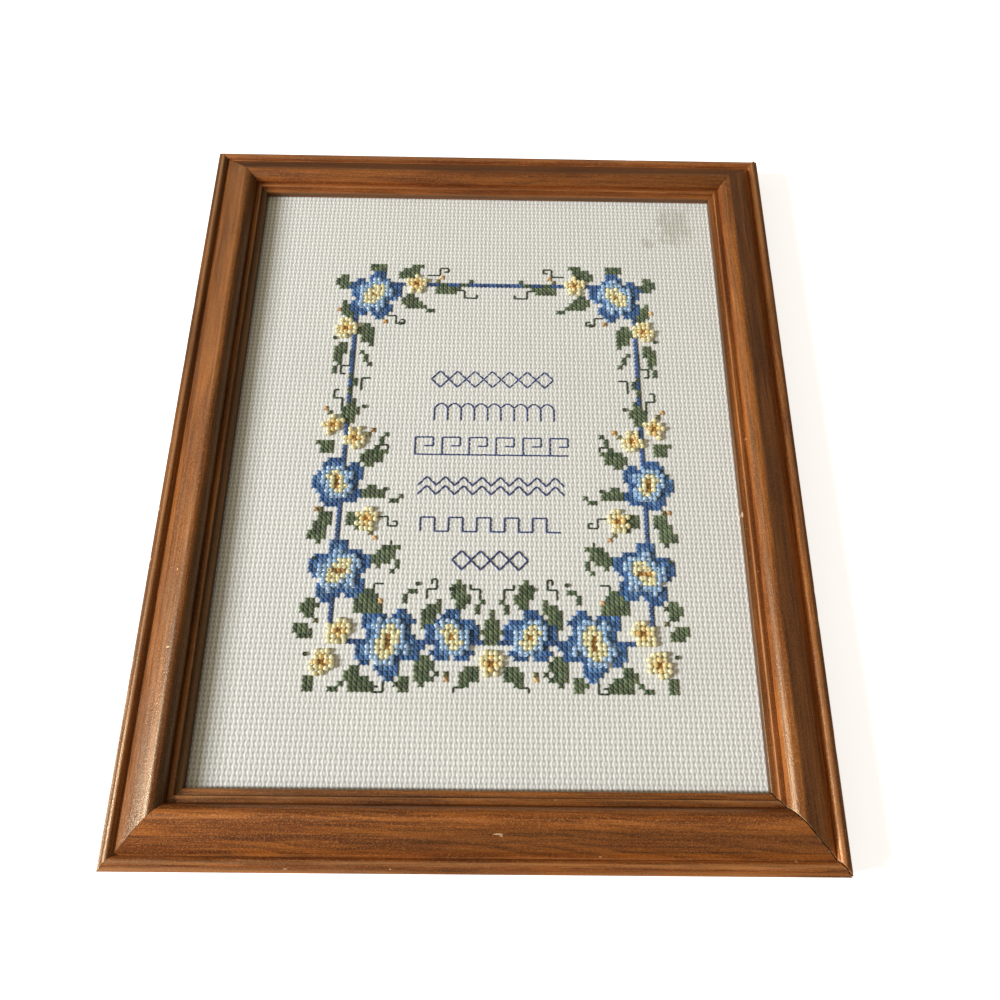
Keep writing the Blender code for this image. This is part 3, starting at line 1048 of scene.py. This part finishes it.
def add_lines(chart, random):
    """Back stitches from hole to hole, each dipping into the cloth at its ends."""
    pieces = []
    shares = np.array([0.02, 0.16, 0.5, 0.84, 0.98])[:, None]
    for key, (name, colour, slot, half_width) in LINE_COLOURS.items():
        ends = [pair for holes, kind in chart.lines if kind == key for pair in zip(holes, holes[1:])]
        ends = cell_places(np.array(ends) - 0.5)
        flat = ends[:, :1] * (1 - shares) + ends[:, 1:] * shares
        flat = flat + random.normal(0, 0.00003, (len(ends), 1, 2))
        lift = np.array([-0.2, 0.12, 0.22, 0.12, -0.2]) * MM + cloth_top
        lift = np.broadcast_to(lift, flat.shape[:2])
        paths = np.concatenate([flat, lift[:, :, None]], axis=2)
        tint = np.clip(random.normal(0.5, 0.12, len(ends)), 0, 1)
        cotton = thread_paint(name + "_cotton", colour)
        pieces.append(add_thread(name, cotton, paths, (half_width, 0.00018, 6), tint))
    return pieces


def add_knots(chart, random):
    """Small dark knots, as flattened and narrowed rings of thread."""
    centres = raised(cell_places(np.array(chart.knots) - 0.5), 0.0003)
    axes = unit((0, 0, 1) + random.normal(0, 0.1, centres.shape))
    points, faces, _ = ring_solids(centres, axes, 0.8, 0.62)
    knots = mesh_object("green_knots", points, faces, thread_paint("knot_cotton", LINE_COLOURS["vine"][1]))
    point_values(knots, tint=np.full(len(points), 0.6))
    return finish_piece(knots)


def pressed_board():
    """Dull grey-brown pressed board with flecks and short fibres."""
    paint = Paint("pressed_board", (0.3, 0.24, 0.17), 0.85)
    fleck = paint.noise((900, 380, 900), 4, roughness=0.7)
    cloud = paint.noise((40, 40, 40), 3, (0.2, 0.1, 0))
    colour = mix(ramp(fleck, 0.3, 0.75), (0.36, 0.29, 0.21), (0.2, 0.155, 0.11))
    colour = mix(ramp(cloud, 0.3, 0.7, 0, 0.4), colour, (0.86, 0.82, 0.76), "MULTIPLY")
    paint.set({"Base Color": colour})
    paint.bump(fleck, 0.0001)
    return paint.material


def finish_board():
    """The CAD board keeps its shape, with softened edges and its own finish."""
    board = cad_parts["backing_board"]
    board.data.materials.clear()
    board.data.materials.append(pressed_board())
    soft = board.modifiers.new("soft_edges", "BEVEL")
    soft.width = 0.0003
    soft.segments = 2
    soft.limit_method = "ANGLE"


def add_floor():
    """A plain pale floor under the frame."""
    paint = Paint("pale_floor", (0.86, 0.86, 0.86), 0.9)
    paint.set({"Emission Color": (1, 1, 1, 1), "Emission Strength": FLOOR_GLOW})
    corners = np.array([(-1, -1, 0), (1, -1, 0), (1, 1, 0), (-1, 1, 0)]) * FLOOR_REACH
    floor = mesh_object("floor", corners, [[0, 1, 2, 3]], paint.material, smooth=False)
    floor.location.z = -0.0001
    floor.visible_glossy = False


def add_window():
    """A soft window on the left and a little in front."""
    azimuth, elevation = math.radians(WINDOW_AZIMUTH), math.radians(WINDOW_ELEVATION)
    level = math.cos(elevation)
    toward = np.array([math.cos(azimuth) * level, math.sin(azimuth) * level, math.sin(elevation)])
    window = bpy.data.lights.new("window", "AREA")
    window.shape = "RECTANGLE"
    window.size, window.size_y = WINDOW_SIZE
    window.energy = WINDOW_POWER
    window.color = (0.9, 0.94, 1)
    lamp = bpy.data.objects.new("window", window)
    lamp.location = tuple(toward * WINDOW_DISTANCE)
    lamp.rotation_euler = (math.pi / 2 - elevation, 0, azimuth + math.pi / 2)
    bpy.context.scene.collection.objects.link(lamp)


def add_room():
    """A warm pale room, brighter towards the window and above, and darker below the floor."""
    world = bpy.data.worlds.new("room")
    world.use_nodes = True
    around = add_node(world.node_tree, "TexCoord", {}).outputs["Generated"]
    bright_side = {0: around, 1: (-0.88, -0.12, 0.46)}
    facing = output_of("VectorMath", bright_side, "Value", operation="DOT_PRODUCT")
    level = ramp(facing, 0.25, 1, ROOM_DIM, ROOM_BRIGHT)
    ground = ramp(parts(around)[2], -0.15, 0.05, 0.25, 1, "LINEAR")
    sky = world.node_tree.nodes["Background"]
    feed(sky.inputs["Color"], (1, 0.89, 0.68, 1))
    feed(sky.inputs["Strength"], times(level, ground))
    bpy.context.scene.world = world


def add_camera():
    """The photograph's viewpoint: above the picture's lower edge, tilted up towards its top."""
    lens = bpy.data.cameras.new("camera")
    lens.sensor_width = SENSOR_WIDTH
    lens.lens = FOCAL_PIXELS / PICTURE_PIXELS * SENSOR_WIDTH
    lens.clip_start = 0.01
    camera = bpy.data.objects.new("camera", lens)
    camera.location = CAMERA_PLACE
    camera.rotation_euler = tuple(math.radians(angle) for angle in CAMERA_TURN)
    bpy.context.scene.collection.objects.link(camera)
    bpy.context.scene.camera = camera


def main():
    """Builds everything and hands the scene over."""
    random = np.random.default_rng(SEED)
    bpy.context.scene.view_settings.view_transform = "Standard"
    add_camera()
    add_window()
    add_room()
    add_floor()
    add_rails(random)
    chart = Chart()
    for draw in (draw_corner_sprays, draw_side_garlands, draw_bottom_garland, draw_border, draw_bands):
        draw(chart)
    cloth = add_cloth(chart, random)
    needlework = add_crosses(chart, random) + add_beads(chart, random) + add_lines(chart, random)
    needlework.append(add_knots(chart, random))
    finish_board()


main()
